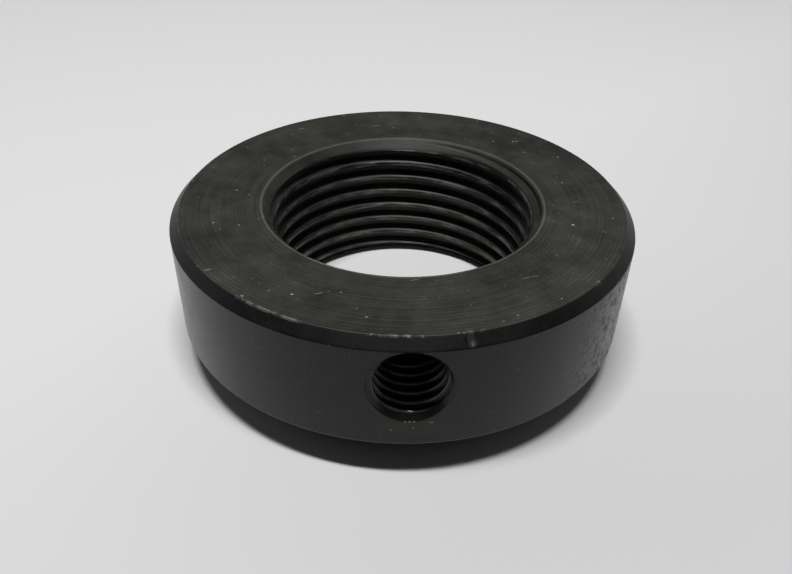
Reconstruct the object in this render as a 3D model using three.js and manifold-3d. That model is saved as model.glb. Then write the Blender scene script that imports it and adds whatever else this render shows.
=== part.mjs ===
import * as THREE from "three";
import { mergeVertices } from "three/addons/utils/BufferGeometryUtils.js";
import Module from "manifold-3d";

// One-piece threaded shaft collar lying flat: origin at the centre of its bottom face, +Z up,
// the tapped cross hole faces -Y. Millimetres.

// collar blank
const OUTER_R = 25;
const WIDTH = 16;
const TOP_CHAMFER = 1.0;
const BOTTOM_CHAMFER = 4.0;
const MOUTH_R = 15.35; // bore chamfer where it meets a face
const MOUTH_DEPTH = 1.4;
const RING_SEGMENTS = 96;

// main thread, M30x2, right hand, bored to the open end of its tolerance
const MAIN_PITCH = 2;
const MAIN_MAJOR_R = 15;
const MAIN_MINOR_R = 14.1;
const MAIN_CREST_FLAT = 0.71;
const MAIN_CREST_BELOW_TOP = 0.5; // in pitches, at +Y
const MAIN_SECTIONS = 48;

// cross hole and set screw, M8x1.25
const CROSS_PITCH = 1.25;
const CROSS_MAJOR_R = 4;
const CROSS_MINOR_R = CROSS_MAJOR_R - 0.5413 * CROSS_PITCH;
const CROSS_Z = 10.9;
const CROSS_SECTIONS = 24;
const CROSS_CREST = 18.17; // distance from the axis of one crest along the hole's underside
const CROSS_MOUTH_R = 4.1;
const CROSS_INNER_END = 11.5; // the cutter stops in the open bore, short of the far wall

// set screw and plug, measured from the collar's axis along -Y
const SCREW_FACE = 17.8;
const SCREW_LENGTH = 3.2;
const SCREW_MAJOR_R = CROSS_MAJOR_R - 0.2;
const SCREW_MINOR_R = SCREW_MAJOR_R - 0.6134 * CROSS_PITCH;
const SCREW_EDGE = 0.5;
const SOCKET_FLATS = 4;
const SOCKET_DEPTH = 2.0;
const PLUG_GAP = 0.1;
const PLUG_LENGTH = 1.2;
const PLUG_R = 3.15;
const PLUG_EDGE = 0.25;

const wasm = await Module();
wasm.setup();

// three.js geometry to a manifold solid, without the empty triangles a lathe leaves at its poles
function solid(geometry) {
  const bare = new THREE.BufferGeometry();
  bare.setAttribute("position", geometry.getAttribute("position"));
  bare.setIndex(geometry.index);
  const merged = mergeVertices(bare, 1e-4);
  const index = merged.index.array;
  const kept = [];
  for (let i = 0; i < index.length; i += 3) {
    const [a, b, c] = index.slice(i, i + 3);
    if (a !== b && b !== c && c !== a) kept.push(a, b, c);
  }
  return new wasm.Manifold(
    new wasm.Mesh({
      numProp: 3,
      vertProperties: new Float32Array(merged.attributes.position.array),
      triVerts: new Uint32Array(kept),
    }),
  );
}

// profile of [radius, height] pairs from axis to axis, listed upwards, turned about Z
function turned(profile, segments) {
  const points = profile.map(([r, z]) => new THREE.Vector2(r, z));
  return new THREE.LatheGeometry(points, segments).rotateX(Math.PI / 2);
}

// local +Z out along the cross hole's axis
function alongCrossHole(geometry) {
  return geometry.rotateX(Math.PI / 2).translate(0, 0, CROSS_Z);
}

// Right-hand threaded rod about Z that runs past low and high.
// Its grooves, so the crests of a wall cut with it, are centred on height `phase` at angle 0.
function threadedRod({ pitch, majorR, minorR, grooveFlat, low, high, phase, sections }) {
  const edge = grooveFlat / 2;
  const flank = (majorR - minorR) * Math.tan(Math.PI / 6);
  const turn = [
    [minorR, -edge],
    [minorR, edge],
    [majorR, edge + flank],
    [majorR, pitch - edge - flank],
  ];
  const step = turn.length;
  const first = Math.floor((low - phase) / pitch) - 2;
  const turns = Math.ceil((high - low) / pitch) + 4;
  const last = turns * step;
  const at = (j, i) => j * (last + 1) + i;

  const positions = [];
  for (let j = 0; j < sections; j++) {
    const angle = (2 * Math.PI * j) / sections;
    for (let i = 0; i <= last; i++) {
      const [r, dz] = turn[i % step];
      const lift = pitch * (first + Math.floor(i / step) + j / sections);
      positions.push(r * Math.cos(angle), r * Math.sin(angle), phase + lift + dz);
    }
  }
  const lowHub = at(sections, 0);
  const highHub = lowHub + 1;
  positions.push(0, 0, phase + pitch * first, 0, 0, phase + pitch * (first + turns + 1));

  const faces = [];
  const end = sections - 1;
  for (let j = 0; j < end; j++) {
    for (let i = 0; i < last; i++) {
      faces.push(at(j, i), at(j + 1, i), at(j + 1, i + 1));
      faces.push(at(j, i), at(j + 1, i + 1), at(j, i + 1));
    }
    faces.push(lowHub, at(j + 1, 0), at(j, 0), highHub, at(j, last), at(j + 1, last));
  }
  // the last section meets the first one pitch further up
  for (let i = 0; i < last - step; i++) {
    faces.push(at(end, i), at(0, i + step), at(0, i + step + 1));
    faces.push(at(end, i), at(0, i + step + 1), at(end, i + 1));
  }
  faces.push(lowHub, at(0, step), at(end, 0), highHub, at(end, last - step), at(0, last));
  for (let i = 0; i < step; i++) {
    faces.push(lowHub, at(0, i), at(0, i + 1));
    faces.push(highHub, at(end, last - i), at(end, last - i - 1));
  }
  const geometry = new THREE.BufferGeometry();
  geometry.setAttribute("position", new THREE.Float32BufferAttribute(positions, 3));
  return geometry.setIndex(faces);
}

function mainThread() {
  return threadedRod({
    pitch: MAIN_PITCH,
    majorR: MAIN_MAJOR_R,
    minorR: MAIN_MINOR_R,
    grooveFlat: MAIN_CREST_FLAT,
    low: -1,
    high: WIDTH + 1,
    phase: WIDTH - (MAIN_CREST_BELOW_TOP + 0.25) * MAIN_PITCH,
    sections: MAIN_SECTIONS,
  });
}

function crossThread(majorR, minorR, grooveFlat, low, high) {
  const phase = CROSS_CREST - 0.75 * CROSS_PITCH;
  const sections = CROSS_SECTIONS;
  const pitch = CROSS_PITCH;
  return threadedRod({ pitch, majorR, minorR, grooveFlat, low, high, phase, sections });
}

function boreChamfers() {
  const throat = MOUTH_R - MOUTH_DEPTH;
  const flare = MOUTH_R + 1;
  const top = [
    [0, WIDTH - MOUTH_DEPTH],
    [throat, WIDTH - MOUTH_DEPTH],
    [flare, WIDTH + 1],
    [0, WIDTH + 1],
  ];
  const bottom = [
    [0, -1],
    [flare, -1],
    [throat, MOUTH_DEPTH],
    [0, MOUTH_DEPTH],
  ];
  return [top, bottom].map((profile) => solid(turned(profile, RING_SEGMENTS)));
}

function collarBody() {
  const blank = [
    [0, 0],
    [OUTER_R - BOTTOM_CHAMFER, 0],
    [OUTER_R, BOTTOM_CHAMFER],
    [OUTER_R, WIDTH - TOP_CHAMFER],
    [OUTER_R - TOP_CHAMFER, WIDTH],
    [0, WIDTH],
  ];
  const [topChamfer, bottomChamfer] = boreChamfers();
  const crossEnd = OUTER_R + 1;
  const hole = crossThread(
    CROSS_MAJOR_R, CROSS_MINOR_R, CROSS_PITCH / 4, CROSS_INNER_END + 3, crossEnd,
  );
  const mouthCut = [
    [0, OUTER_R - 1.5],
    [CROSS_MOUTH_R - 1.5, OUTER_R - 1.5],
    [CROSS_MOUTH_R + 1, crossEnd],
    [0, crossEnd],
  ];
  return solid(turned(blank, RING_SEGMENTS))
    .subtract(solid(mainThread()))
    .subtract(topChamfer)
    .subtract(bottomChamfer)
    .subtract(solid(alongCrossHole(hole)))
    .subtract(solid(alongCrossHole(turned(mouthCut, CROSS_SECTIONS))));
}

// short socket set screw, outer face at SCREW_FACE
function setScrew() {
  const inner = SCREW_FACE - SCREW_LENGTH;
  const rod = crossThread(
    SCREW_MAJOR_R, SCREW_MINOR_R, CROSS_PITCH / 8, inner, SCREW_FACE,
  );
  const envelope = [
    [0, inner],
    [SCREW_MAJOR_R - SCREW_EDGE, inner],
    [SCREW_MAJOR_R + 0.1, inner + SCREW_EDGE + 0.1],
    [SCREW_MAJOR_R + 0.1, SCREW_FACE - SCREW_EDGE - 0.1],
    [SCREW_MAJOR_R - SCREW_EDGE, SCREW_FACE],
    [0, SCREW_FACE],
  ];
  const socketR = SOCKET_FLATS / 2 / Math.cos(Math.PI / 6);
  const socket = new THREE.CylinderGeometry(socketR, socketR, SOCKET_DEPTH + 1, 6)
    .rotateX(Math.PI / 2)
    .translate(0, 0, SCREW_FACE + (1 - SOCKET_DEPTH) / 2);
  return solid(alongCrossHole(rod))
    .intersect(solid(alongCrossHole(turned(envelope, CROSS_SECTIONS))))
    .subtract(solid(alongCrossHole(socket)));
}

// soft plug between the set screw and the rod in the bore
function threadPlug() {
  const outer = SCREW_FACE - SCREW_LENGTH - PLUG_GAP;
  const inner = outer - PLUG_LENGTH;
  const profile = [
    [0, inner],
    [PLUG_R - PLUG_EDGE, inner],
    [PLUG_R, inner + PLUG_EDGE],
    [PLUG_R, outer],
    [0, outer],
  ];
  return solid(alongCrossHole(turned(profile, CROSS_SECTIONS)));
}

function piece(name, body, color, roughness, metalness) {
  const { numProp, numVert, vertProperties, triVerts } = body.getMesh();
  const positions = new Float32Array(numVert * 3);
  for (let i = 0; i < numVert; i++) {
    positions.set(vertProperties.subarray(i * numProp, i * numProp + 3), i * 3);
  }
  const geometry = new THREE.BufferGeometry();
  geometry.setAttribute("position", new THREE.BufferAttribute(positions, 3));
  geometry.setIndex(new THREE.BufferAttribute(triVerts, 1));
  geometry.computeVertexNormals();
  const material = new THREE.MeshStandardMaterial({ color, roughness, metalness });
  const mesh = new THREE.Mesh(geometry, material);
  mesh.name = name;
  return mesh;
}

const collar = new THREE.Group();
collar.add(
  piece("collar_body", collarBody(), 0x3b3c3a, 0.5, 0.8),
  piece("set_screw", setScrew(), 0x2a2a2c, 0.45, 0.8),
  piece("thread_plug", threadPlug(), 0xb08d4a, 0.4, 0.9),
);

export default collar;
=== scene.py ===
import math

import bpy
import numpy as np
from mathutils import Matrix, Vector


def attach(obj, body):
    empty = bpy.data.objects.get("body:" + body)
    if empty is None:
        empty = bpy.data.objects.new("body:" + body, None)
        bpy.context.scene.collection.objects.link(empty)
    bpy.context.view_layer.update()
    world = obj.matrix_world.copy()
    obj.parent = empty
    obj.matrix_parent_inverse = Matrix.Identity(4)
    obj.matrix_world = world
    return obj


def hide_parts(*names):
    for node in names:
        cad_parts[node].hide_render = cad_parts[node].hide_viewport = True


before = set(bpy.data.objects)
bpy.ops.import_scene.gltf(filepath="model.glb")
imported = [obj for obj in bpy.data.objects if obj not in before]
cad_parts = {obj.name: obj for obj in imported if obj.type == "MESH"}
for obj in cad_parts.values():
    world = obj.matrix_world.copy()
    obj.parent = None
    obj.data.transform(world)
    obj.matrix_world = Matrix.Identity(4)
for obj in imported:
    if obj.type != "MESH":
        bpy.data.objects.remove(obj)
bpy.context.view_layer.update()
mm = 0.001


def softRamp(x, k):                 # max(x, 0) with its corner rounded over about 2 k
    return k * np.logaddexp(0, x / k)


def threadRadius(z, angle, t):      # right-hand helix, low flat centred on t["crest"] at angle 0
    turn = (z - t["crest"]) / t["pitch"] - angle / (2 * math.pi)
    away = np.abs(turn - np.round(turn)) * t["pitch"]
    rise = softRamp((away - t["halfFlat"]) * math.tan(math.pi / 3), t["soft"])
    return t["minorR"] + t["depth"] - softRamp(t["depth"] - rise, t["soft"])


def rounded(points, radius, steps=5):   # open path of (r, z) with its inner corners filleted
    path = [points[0]]
    for before, corner, after in zip(points, points[1:], points[2:]):
        a, c, b = (np.array(p, float) for p in (before, corner, after))
        inDir, outDir = (a - c) / np.linalg.norm(a - c), (b - c) / np.linalg.norm(b - c)
        half = math.acos(float(np.clip(inDir @ outDir, -1, 1))) / 2
        reach = radius / math.tan(half)
        centre = c + (inDir + outDir) / np.linalg.norm(inDir + outDir) * radius / math.sin(half)
        start, end = c + inDir * reach - centre, c + outDir * reach - centre
        for i in range(steps + 1):
            ray = start + (end - start) * i / steps
            path.append(tuple(centre + ray / np.linalg.norm(ray) * radius))
    path.append(points[-1])
    return path


def between(a, b, count):           # points after a and before b
    return [tuple(np.array(a) + (np.array(b) - np.array(a)) * i / (count + 1)) for i in range(1, count + 1)]


def makeObject(name, vertices, faces):
    mesh = bpy.data.meshes.new(name)
    mesh.from_pydata((vertices * mm).tolist(), [], faces)
    mesh.validate()
    made = bpy.data.objects.new(name, mesh)
    bpy.context.scene.collection.objects.link(made)
    return made


def gridFaces(columns, rows, closedRows):    # columns wrap round
    faces = []
    for j in range(columns):
        k = (j + 1) % columns
        for i in range(rows if closedRows else rows - 1):
            n = (i + 1) % rows
            faces.append((j * rows + i, k * rows + i, k * rows + n, j * rows + n))
    return faces


def cappedRod(name, z, radius, toPlace):     # radius[j, i] over angle j and height i, flat ends
    columns, rows = radius.shape
    angle = 2 * np.pi * np.arange(columns) / columns
    local = np.stack([
        radius * np.cos(angle)[:, None], radius * np.sin(angle)[:, None], np.broadcast_to(z, radius.shape),
    ], -1).reshape(-1, 3)
    faces = gridFaces(columns, rows, False)
    faces.append(tuple(j * rows for j in reversed(range(columns))))
    faces.append(tuple(j * rows + rows - 1 for j in range(columns)))
    return makeObject(name, toPlace(local), faces)


crossHole = {
    "z": 10.9, "mouthR": 4.1, "from": 11.0, "to": 26.2, "sections": 96, "rows": 300,
}


def alongHole(local):               # local z runs out along -Y from the collar's axis
    return np.stack([local[:, 0], -local[:, 2], local[:, 1] + crossHole["z"]], -1)


def cut(target, cutter):
    step = target.modifiers.new("cut", "BOOLEAN")
    step.operation, step.solver, step.object = "DIFFERENCE", "MANIFOLD", cutter
    with bpy.context.temp_override(object=target, active_object=target, selected_objects=[target]):
        bpy.ops.object.modifier_apply(modifier=step.name)
    bpy.data.objects.remove(cutter)


def smoothShade(made, degrees):
    made.data.shade_smooth()
    made.data.set_sharp_from_angle(angle=math.radians(degrees))


body = {
    "outerR": 25.0, "width": 16.0,
    "topChamfer": 1.0, "bottomChamfer": 4.0,
    "mouthR": 15.35,                # bore chamfer where it meets a face
    "edgeRound": 0.16,              # fillet on every turned corner
    "sections": 720, "boreRows": 216, "wallRows": 96, "faceRows": 46,
}
mainThread = {                      # M30x2 internal, right hand, crests rubbed round
    "pitch": 2.0, "minorR": 14.1, "depth": 0.95, "halfFlat": 0.20, "crest": 14.5, "soft": 0.05,
}
nick = {                            # dent in the front rim, turn and width in radians from the hole
    "turn": 0.206, "wide": 0.011, "deep": 0.22, "reach": 0.6,
    "inset": 0.5,                   # below the top face and in from the wall
    "inward": 0.6, "down": 0.8,     # share of the depth that goes each way
    "falloff": 2.2,
}


def dented(x, y, z):                # pushes the rim in where something struck it
    r = np.hypot(x, y)
    away = (np.arctan2(x, -y) - nick["turn"]) / nick["wide"]
    across = (r - body["outerR"] + nick["inset"]) / nick["reach"]
    over = (z - body["width"] + nick["inset"]) / nick["reach"]
    pull = nick["deep"] * np.exp(-away ** 2 - (across ** 2 + over ** 2) * nick["falloff"])
    shrink = 1 - pull * nick["inward"] / r
    return x * shrink, y * shrink, z - pull * nick["down"]


def collarMesh():
    columns = body["sections"]
    angle = 2 * np.pi * np.arange(columns) / columns
    height, mouth = body["width"], body["mouthR"]
    boreZ = np.linspace(0, height, body["boreRows"])
    grid = threadRadius(boreZ[None, :], angle[:, None], mainThread)
    for flare in (mouth - (height - boreZ), mouth - boreZ):      # the two bore chamfers
        grid = grid + softRamp(flare[None, :] - grid, 0.018)
    outer, top, low = body["outerR"], body["topChamfer"], body["bottomChamfer"]
    corners = [
        (mouth, height), (outer - top, height), (outer, height - top),
        (outer, low), (outer - low, 0), (mouth, 0),
    ]
    path = rounded(corners, body["edgeRound"])
    loop = []
    for a, b in zip(path, path[1:]):
        length = math.dist(a, b)
        rows = 0
        if length > 8: rows = body["wallRows"] if abs(a[0] - b[0]) < 0.1 else body["faceRows"]
        elif length > 2: rows = 14
        elif length > 0.6: rows = 4
        loop += [a] + between(a, b, rows)
    loop = loop[1:]                 # the top mouth circle is already in the bore's rows
    fixed = np.array(loop)
    r = np.concatenate([grid, np.broadcast_to(fixed[:, 0], (columns, len(loop)))], 1)
    z = np.broadcast_to(np.concatenate([boreZ, fixed[:, 1]]), r.shape)
    x, y, z = dented(r * np.cos(angle)[:, None], r * np.sin(angle)[:, None], z)
    vertices = np.stack([x, y, z], -1).reshape(-1, 3)
    made = makeObject("collarSteel", vertices, [f[::-1] for f in gridFaces(columns, r.shape[1], True)])
    print("collar blank:", len(vertices), "points")
    return made


crossThread = {                     # M8x1.25, crest measured out from the axis
    "pitch": 1.25, "minorR": 3.323, "depth": 0.677, "halfFlat": 0.12, "crest": 18.17 - 0.9375, "soft": 0.03,
}


def crossCutter():
    z = np.linspace(crossHole["from"], crossHole["to"], crossHole["rows"])
    angle = 2 * np.pi * np.arange(crossHole["sections"]) / crossHole["sections"]
    radius = threadRadius(z[None, :], angle[:, None], crossThread)
    cone = crossHole["mouthR"] + z - body["outerR"]
    radius = radius + softRamp(cone[None, :] - radius, 0.03)
    return cappedRod("cutter", z, radius, alongHole)


screw = {
    "face": 17.8, "length": 3.2, "majorR": 3.8, "edge": 0.5,
    "socketFlats": 4.0, "socketDepth": 2.0, "sections": 96, "rows": 90,
}
screwThread = {
    "pitch": 1.25, "minorR": screw["majorR"] - 0.767, "depth": 0.767, "halfFlat": 0.08,
    "crest": crossThread["crest"], "soft": 0.016,
}


def screwMesh():
    low, high = screw["face"] - screw["length"], screw["face"]
    z = np.linspace(low, high, screw["rows"])
    angle = 2 * np.pi * np.arange(screw["sections"]) / screw["sections"]
    radius = threadRadius(z[None, :], angle[:, None], screwThread)
    for end in (z - low, high - z):                              # chamfered ends
        cone = screw["majorR"] - screw["edge"] + end
        radius = radius - softRamp(radius - cone[None, :], 0.03)
    made = cappedRod("socketScrew", z, radius, alongHole)
    across = screw["socketFlats"] / 2
    depth = np.array([-screw["socketDepth"], -screw["socketDepth"] + 0.35, -0.3, 0.0, 0.6])
    reach = np.array([across * 0.55, across, across, across * 1.13, across * 1.4])
    corner = 2 * np.pi * np.arange(6) / 6 + np.pi / 6
    hexagon = np.tile(reach / math.cos(math.pi / 6), (6, 1))
    socket = cappedRod("cutter", high + depth, hexagon, alongHole)
    cut(made, socket)
    return made


plug = {"inner": 13.3, "outer": 14.5, "r": 3.15, "edge": 0.25, "sections": 72}


def plugMesh():
    edge = plug["edge"]
    path = rounded([
        (0.001, plug["inner"]), (plug["r"] - edge, plug["inner"]), (plug["r"], plug["inner"] + edge),
        (plug["r"], plug["outer"] - 0.1), (plug["r"] - 0.1, plug["outer"]), (0.001, plug["outer"]),
    ], 0.04, 3)
    fine = []
    for a, b in zip(path, path[1:]):
        fine += [a] + between(a, b, 10 if math.dist(a, b) > 1 else 0)
    profile = np.array(fine + [path[-1]])
    columns = plug["sections"]
    radius = np.tile(profile[:, 0], (columns, 1))
    return cappedRod("brassPlug", profile[:, 1], radius, alongHole)


class Wire:                         # one output socket, with arithmetic on values
    def __init__(self, finish, socket):
        self.finish, self.socket = finish, socket

    def maths(self, operation, *sides):
        return self.finish.node("ShaderNodeMath", {"operation": operation}, dict(enumerate(sides)))

    def __add__(self, other): return self.maths("ADD", self, other)
    def __radd__(self, other): return self.maths("ADD", other, self)
    def __sub__(self, other): return self.maths("SUBTRACT", self, other)
    def __rsub__(self, other): return self.maths("SUBTRACT", other, self)
    def __mul__(self, other): return self.maths("MULTIPLY", self, other)
    def __rmul__(self, other): return self.maths("MULTIPLY", other, self)
    def __truediv__(self, other): return self.maths("DIVIDE", self, other)
    def __rtruediv__(self, other): return self.maths("DIVIDE", other, self)
    def __neg__(self): return self.maths("MULTIPLY", self, -1.0)


class Finish:                       # one material and its nodes
    def __init__(self, name):
        self.material = bpy.data.materials.new(name)
        self.material.use_nodes = True
        self.tree = self.material.node_tree
        self.tree.nodes.clear()

    def node(self, kind, settings=None, sockets=None, out=0):
        made = self.tree.nodes.new(kind)
        for key, value in (settings or {}).items():
            if key == "stops":
                while len(made.color_ramp.elements) < len(value): made.color_ramp.elements.new(0.5)
                for element, (place, shade) in zip(made.color_ramp.elements, value):
                    element.position, element.color = place, (shade, shade, shade, 1)
            else:
                setattr(made, key, value)
        for key, value in (sockets or {}).items():
            if isinstance(value, Wire): self.tree.links.new(value.socket, made.inputs[key])
            else: made.inputs[key].default_value = value
        return Wire(self, made.outputs[out]) if made.outputs else made

    def place(self):                # position on the piece in millimetres, with x, y, z
        at = self.node("ShaderNodeTexCoord", out="Object")
        at = self.node("ShaderNodeVectorMath", {"operation": "SCALE"}, {0: at, "Scale": 1000.0})
        return at, [self.node("ShaderNodeSeparateXYZ", None, {0: at}, out=axis) for axis in "XYZ"]

    def vector(self, x, y, z):
        return self.node("ShaderNodeCombineXYZ", None, {"X": x, "Y": y, "Z": z})

    def root(self, value): return self.node("ShaderNodeMath", {"operation": "SQRT"}, {0: value})

    def step(self, value, low, high, interpolation="SMOOTHSTEP"):
        return self.node("ShaderNodeMapRange", {"interpolation_type": interpolation},
                         {"Value": value, "From Min": low, "From Max": high})

    def noise(self, vector, scale, detail=3.0, roughness=0.5):
        return self.node("ShaderNodeTexNoise", None,
                         {"Vector": vector, "Scale": scale, "Detail": detail, "Roughness": roughness})

    def colour(self, factor, a, b):
        a, b = (side if isinstance(side, Wire) else (*side, 1) for side in (a, b))
        return self.node("ShaderNodeMix", {"data_type": "RGBA"}, {0: factor, 6: a, 7: b}, out=2)

    def done(self, bump=None, **sockets):
        if bump:
            height, distance = bump
            sockets["Normal"] = self.node("ShaderNodeBump", None, {"Height": height, "Distance": distance})
        surface = self.node("ShaderNodeBsdfPrincipled", None,
                            {key.replace("_", " "): value for key, value in sockets.items()})
        self.node("ShaderNodeOutputMaterial", None, {"Surface": surface})
        return self.material


oxide = {
    "face": (0.0068, 0.0074, 0.0062), "facePale": (0.033, 0.033, 0.027), "faceWorn": (0.075, 0.074, 0.064),
    "wall": (0.0018, 0.0020, 0.0024), "wallPale": (0.0072, 0.0077, 0.0085),
    "bore": (0.008, 0.008, 0.007), "bright": (0.55, 0.55, 0.52), "pit": (0.010, 0.007, 0.005),
    "oil": (0.011, 0.009, 0.003),
    # the second colour on the next line is a painted highlight for the lit thread crests in the cross hole
    "hole": (0.030, 0.029, 0.026), "holeCrestHighlight": (0.22, 0.22, 0.21),
    "feed": 0.42,                   # spacing of the turning marks
    "roughness": 0.42, "ior": 1.38,
}
stain = {"z": 5.95, "halfHeight": 1.05, "halfWidth": 3.3}       # oil that ran out of the hole
paintedGlintSpots = (                          # painted glints below the cross hole: sideways, height, size
    (-1.67, 5.8, 0.13), (0.35, 6.05, 0.10), (2.0, 6.7, 0.15),
    (0.0, 6.82, 0.10), (0.4, 6.84, 0.10), (-0.4, 6.84, 0.09),
)


def blackOxide():
    f = Finish("blackOxide")
    at, (x, y, z) = f.place()
    r = f.root(x * x + y * y)
    angle = f.node("ShaderNodeMath", {"operation": "ARCTAN2"}, {0: x, 1: -y})   # 0 at the hole, + towards +X
    height, outer, mouth = body["width"], body["outerR"], body["mouthR"]
    onFace = f.step(z, height - 0.06, height - 0.01)
    onWall = f.step(r, outer - 0.12, outer - 0.03)
    inThread = 1 - f.step(r + (height - z) * 0.1, mouth - 0.95, mouth - 0.75)
    onMouth = (1 - f.step(r, mouth - 0.05, mouth + 0.05)) * (1 - inThread)
    front = f.step(-y, 0.0, 12.0)

    polar = f.vector(r * 4.6, x / r * 1.5, y / r * 1.5)          # long along the turning, fine across it
    streaks = f.noise(polar, 1.0, 5.0, 0.66)
    fineStreaks = f.noise(f.vector(r * 16.0, x / r * 3.4, y / r * 3.4), 1.0, 3.0, 0.6)
    phase = r * (2 * math.pi / oxide["feed"]) + streaks * 2.6
    rings = f.node("ShaderNodeMath", {"operation": "SINE"}, {0: phase})
    cloud = f.noise(at, 0.11, 5.0, 0.62)
    smudge = f.noise(at, 0.42, 4.0, 0.68)
    grain = f.noise(at, 3.4, 4.0, 0.65)
    wallBands = f.noise(f.vector(angle * 9.0, z * 0.25, r), 1.0, 4.0, 0.6)

    mottle = streaks * 0.40 + cloud * 0.55 + smudge * 0.45 + rings * 0.035 * front + (fineStreaks - 0.5) * 0.28
    faceTone = f.colour(f.step(mottle, 0.50, 0.86), oxide["face"], oxide["facePale"])
    faceTone = f.colour(f.step(mottle + grain * 0.25, 0.92, 1.08) * 0.8, faceTone, oxide["faceWorn"])
    wallMottle = grain * 0.40 + wallBands * 0.35 + smudge * 0.40
    wallTone = f.colour(f.step(wallMottle, 0.46, 0.74), oxide["wall"], oxide["wallPale"])
    tone = f.colour(f.step(z, height - 0.10, height - 0.02), wallTone, faceTone)
    tone = f.colour(onMouth * 0.9, tone, faceTone)
    tone = f.colour(inThread * 0.9, tone, oxide["bore"])

    crest = 1 - f.step(r, mainThread["minorR"] + 0.02, mainThread["minorR"] + 0.20)
    crestWear = f.step(f.noise(f.vector(x * 0.35, y * 0.35, z * 1.6), 1.0, 3.0, 0.6), 0.44, 0.66) * crest
    tone = f.colour(crestWear * 0.20, tone, oxide["bright"])

    speckField = f.noise(at, 1.9, 2.0, 0.5) + (fineStreaks - 0.5) * 0.1
    specks = f.step(speckField, 0.735, 0.775)                    # pale nicks in the finish
    scratchWay = f.vector(x * 0.30 + y * 0.12, y * 3.1 - x * 1.1, z * 2.0)
    scratches = f.step(f.noise(scratchWay, 1.0, 2.0, 0.5), 0.735, 0.765)
    tone = f.colour(specks * onFace * 0.55, tone, oxide["bright"])
    tone = f.colour(scratches * onFace * 0.30, tone, oxide["bright"])
    rubbed = f.step(angle, 0.62, 0.90) * (1 - f.step(angle, 1.40, 1.62)) * onWall
    pits = f.step(f.noise(at, 1.3, 5.0, 0.75), 0.53, 0.58) * rubbed
    tone = f.colour(pits * 0.9, tone, oxide["pit"])
    chips = f.step(f.noise(at, 2.6, 3.0, 0.6), 0.64, 0.69) * rubbed
    tone = f.colour(chips * 0.5, tone, oxide["bright"])
    dust = f.step(f.noise(at, 2.4, 3.0, 0.6), 0.63, 0.72) * onWall
    tone = f.colour(dust * 0.06, tone, oxide["bright"])
    wallWay = f.vector(angle * 24.0 + z * 1.6, z * 1.2 - angle * 16.0, 0.0)
    fineWay = f.vector(angle * 60.0 + z * 2.4, z * 0.25, 0.0)
    wallScratches = f.step(f.noise(fineWay, 1.0, 2.0, 0.5), 0.715, 0.76) * onWall
    wallScratches = wallScratches * f.step(f.noise(wallWay, 0.5, 2.0, 0.5), 0.45, 0.60)
    tone = f.colour(wallScratches * 0.07, tone, oxide["bright"])

    dx, dz = x / stain["halfWidth"], (z - stain["z"]) / stain["halfHeight"]
    ragged = (f.noise(at, 0.9, 5.0, 0.66) - 0.5) * 1.5
    patch = (1 - f.step(dx * dx + dz * dz + ragged, 0.80, 1.15)) * f.step(-y, 20.0, 21.0)
    up = z - crossHole["z"]
    fromHole = x * x + up * up
    inHole = (1 - f.step(fromHole, 15.6, 17.0)) * f.step(-y, 15.0, 15.8)
    tone = f.colour(patch * 0.85, tone, oxide["oil"])
    tone = f.colour(inHole * 0.9, tone, oxide["hole"])
    # painted highlight: lit thread crests inside the cross hole, pale over dark roots, strongest near the
    # hole's middle
    holeCrestHighlight = (1 - f.step(fromHole, 11.4, 12.9)) * f.step(-y, 16.0, 16.8)
    holeCrestHighlight = holeCrestHighlight * (1 - f.step(x * x, 2.2, 7.5) * 0.8)
    tone = f.colour(holeCrestHighlight * f.step(smudge + grain * 0.3, 0.30, 0.70), tone, oxide["holeCrestHighlight"])
    # painted highlight: small bright glints on the wall under the hole mouth
    paintedGlints = 0.0
    for sideways, level, size in paintedGlintSpots:
        offX, offZ = x - sideways, z - level
        spread = offX * offX * 0.5 + offZ * offZ * 2.5
        paintedGlints = paintedGlints + (1 - f.step(spread, 0.3 * size * size, size * size))
    paintedGlints = paintedGlints * onWall
    tone = f.colour(paintedGlints * 0.3, tone, oxide["bright"])

    edge = body["topChamfer"]
    rim = (r - outer + edge) * (r - outer + edge) + (z - height) * (z - height)
    onRim = 1 - f.step(rim, 0.010, 0.050)
    # painted highlight: a thin bright line along the wall's lower edge
    low = body["bottomChamfer"]
    lowEdge = (r - outer) * (r - outer) + (z - low) * (z - low)
    lowEdgeHighlight = 1 - f.step(lowEdge, 0.006, 0.030)
    boreRim = 1 - f.step((r - mouth) * (r - mouth) + (z - height) * (z - height), 0.010, 0.045)
    along = f.noise(f.vector(x / r * 5.0, y / r * 5.0, 0.0), 1.0, 4.0, 0.75)
    along = along + (f.noise(at, 1.7, 3.0, 0.6) - 0.5) * 0.5
    leftArc = f.step(angle, -0.82, -0.70) * (1 - f.step(angle, -0.46, -0.36))
    midArc = f.step(angle, -0.20, -0.12) * (1 - f.step(angle, 0.20, 0.26))
    rub = f.step(along + leftArc * 0.16 + midArc * 0.12, 0.58, 0.80)
    struck = (angle - nick["turn"]) / (nick["wide"] * 1.3)
    onNick = (1 - f.step(struck * struck, 0.5, 1.3)) * f.step(r, outer - 1.6, outer - 1.2)
    onNick = onNick * f.step(z, height - 1.0, height - 0.6)
    bare = onRim * rub + onNick * 0.12
    tone = f.colour(bare * 0.38 + lowEdgeHighlight * 0.07 + boreRim * (0.10 + rub * 0.15), tone, oxide["bright"])

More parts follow.
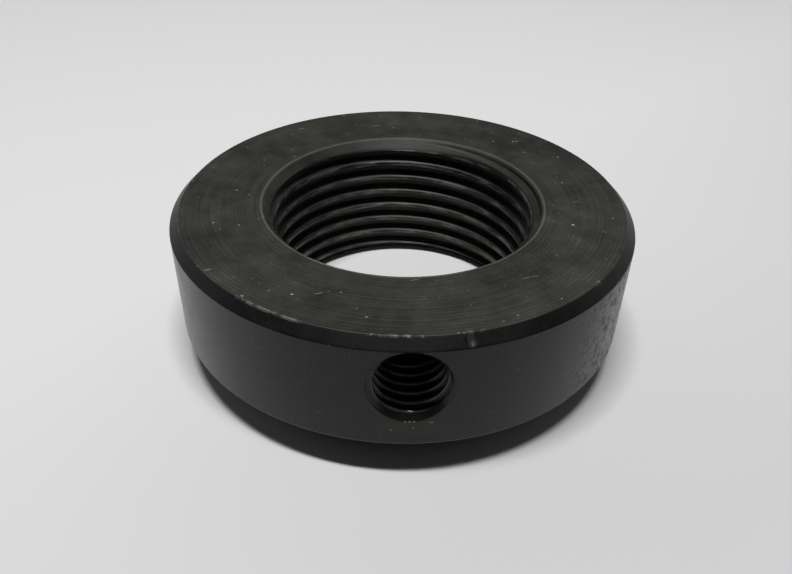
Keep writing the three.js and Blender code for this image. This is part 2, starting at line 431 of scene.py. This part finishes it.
    wet = patch * 0.9 + inHole
    roughness = oxide["roughness"] + (mottle - 0.7) * 0.12 - onWall * 0.12 - inThread * 0.08 + onMouth * 0.05
    roughness = roughness + pits * 0.2 - wet * 0.10 + (wallMottle - 0.58) * onWall * 0.25
    relief = rings * (0.0012 + front * 0.0022) + streaks * 0.010 + fineStreaks * 0.007
    relief = relief * onFace + grain * 0.004 + onWall * wallBands * 0.004
    relief = relief - specks * onFace * 0.02 - scratches * onFace * 0.008
    relief = relief - pits * 0.16 - wallScratches * 0.010
    metal = bare * 0.9 + inHole * 0.8 + inThread * 0.25 + crestWear * 0.25
    return f.done((relief, mm), Base_Color=tone, Roughness=roughness, Metallic=metal, IOR=oxide["ior"])


screwFinish = {"steel": (0.012, 0.012, 0.013), "worn": (0.06, 0.06, 0.058), "roughness": 0.32}


def oiledSteel():
    f = Finish("oiledScrewSteel")
    at, (x, y, z) = f.place()
    grain = f.noise(at, 3.0, 4.0, 0.6)
    tone = f.colour(f.step(grain, 0.45, 0.7), screwFinish["steel"], screwFinish["worn"])
    roughness = screwFinish["roughness"] + (grain - 0.5) * 0.3
    return f.done((grain * 0.01, mm), Base_Color=tone, Roughness=roughness, Metallic=0.3)


plugFinish = {"brass": (0.50, 0.33, 0.11), "dull": (0.26, 0.17, 0.07), "roughness": 0.3}


def turnedBrass():
    f = Finish("turnedBrass")
    at, (x, y, z) = f.place()
    up = z - crossHole["z"]
    r = f.root(x * x + up * up)
    rings = f.node("ShaderNodeMath", {"operation": "SINE"}, {0: r * 26.0 + f.noise(at, 1.0) * 2.0})
    grime = f.noise(at, 0.9, 5.0, 0.6)
    tone = f.colour(f.step(grime, 0.42, 0.66), plugFinish["brass"], plugFinish["dull"])
    roughness = plugFinish["roughness"] + grime * 0.25
    return f.done((rings * 0.003 + grime * 0.006, mm), Base_Color=tone, Roughness=roughness, Metallic=1.0)


collar = collarMesh()
cut(collar, crossCutter())
smoothShade(collar, 40)
collar.data.materials.clear()
collar.data.materials.append(blackOxide())
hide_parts("collar_body")
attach(collar, "collar")
print("collar:", len(collar.data.polygons), "faces")

setScrew = screwMesh()
smoothShade(setScrew, 40)
setScrew.data.materials.clear()
setScrew.data.materials.append(oiledSteel())
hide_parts("set_screw")
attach(setScrew, "screw")
print("set screw:", len(setScrew.data.polygons), "faces")

softPlug = plugMesh()
smoothShade(softPlug, 40)
softPlug.data.materials.clear()
softPlug.data.materials.append(turnedBrass())
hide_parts("thread_plug")
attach(softPlug, "plug")
print("plug:", len(softPlug.data.polygons), "faces")

studio = {
    "floor": (0.79, 0.79, 0.80), "floorPaintedShade": (0.675, 0.675, 0.69), "floorSize": 3.0,
    "paintedShadeFrom": -25.0, "paintedShadeTo": 60.0,                             # mm, across the painted shade ramp to the darker floor colour
    "world": (0.9, 0.95, 1.0), "worldStrength": 0.03,
    "strip": {"at": (-0.015, -0.060, 0.60), "size": (0.25, 0.055), "watts": 3.16, "colour": (1.0, 0.99, 0.98)},
    "backLeft": {"at": (-0.70, 0.46, 0.30), "size": (0.95, 0.45), "watts": 0.55, "colour": (0.97, 0.98, 1.0)},
    "backRight": {"at": (0.70, 0.46, 0.30), "size": (0.95, 0.45), "watts": 0.50, "colour": (0.98, 0.98, 1.0)},
    "front": {"at": (0.0, -0.60, 0.60), "size": (0.5, 0.5), "watts": 0.045, "colour": (1.0, 1.0, 1.0)},
    "back": {"at": (0.0, 0.70, 0.60), "size": (1.3, 0.42), "watts": 0.85, "colour": (0.98, 1.0, 0.93)},
}


def panel(name, spec, target):
    light = bpy.data.lights.new(name, "AREA")
    light.shape, (light.size, light.size_y) = "RECTANGLE", spec["size"]
    light.energy, light.color = spec["watts"], spec["colour"]
    holder = bpy.data.objects.new(name, light)
    bpy.context.scene.collection.objects.link(holder)
    holder.location = spec["at"]
    holder.rotation_euler = (Vector(target) - Vector(spec["at"])).to_track_quat("-Z", "Y").to_euler()


def paleFloor():
    f = Finish("paleFloor")
    at, (x, y, z) = f.place()
    paper = f.noise(at, 0.02, 3.0, 0.5) * 0.1
    # painted shade: the floor darkens towards the right and the front, standing in for light falloff
    paintedShadeRamp = f.step(x * 0.8 - y + paper * 100, studio["paintedShadeFrom"], studio["paintedShadeTo"], "LINEAR")
    tone = f.colour(paintedShadeRamp, studio["floor"], studio["floorPaintedShade"])
    return f.done(None, Base_Color=tone, Roughness=0.9)


half = studio["floorSize"] / 2
floorMesh = bpy.data.meshes.new("floor")
floorCorners = [(-half, -half, 0), (half, -half, 0), (half, half, 0), (-half, half, 0)]
floorMesh.from_pydata(floorCorners, [], [(0, 1, 2, 3)])
floor = bpy.data.objects.new("floor", floorMesh)
bpy.context.scene.collection.objects.link(floor)
floor.data.materials.append(paleFloor())
for name in ("strip", "back", "backLeft", "backRight", "front"):
    panel(name, studio[name], (0, 0, 0.01))
world = bpy.data.worlds.new("studio")
world.use_nodes = True
world.node_tree.nodes["Background"].inputs["Color"].default_value = (*studio["world"], 1)
world.node_tree.nodes["Background"].inputs["Strength"].default_value = studio["worldStrength"]
bpy.context.scene.world = world
bpy.context.scene.view_settings.view_transform = "Standard"
print("studio ready")

eye = {                             # distances in collar radii
    "distance": 3.6565, "elevation": 37.576, "azimuth": -2.6, "target": (-0.0215, 0, 0.152),
    "roll": 1.265, "lens": 33.964,
}


def aimCamera():
    radius = body["outerR"] * mm
    turn, tilt, roll = (math.radians(eye[key]) for key in ("azimuth", "elevation", "roll"))
    at = Vector((0, -math.cos(tilt), math.sin(tilt))) * eye["distance"]
    forward = (Vector(eye["target"]) - at).normalized()
    right = forward.cross(Vector((0, 0, 1))).normalized()
    up = right.cross(forward)
    rolledRight = right * math.cos(roll) + up * math.sin(roll)
    rolledUp = up * math.cos(roll) - right * math.sin(roll)
    pose = Matrix.Identity(4)
    for column, axis in enumerate((rolledRight, rolledUp, -forward, at * radius)):
        for row in range(3): pose[row][column] = axis[row]
    data = bpy.data.cameras.new("camera")
    data.lens, data.sensor_width, data.clip_start = eye["lens"], 36, 0.005
    holder = bpy.data.objects.new("camera", data)
    bpy.context.scene.collection.objects.link(holder)
    holder.matrix_world = Matrix.Rotation(turn, 4, "Z") @ pose
    return holder


bpy.context.scene.camera = aimCamera()
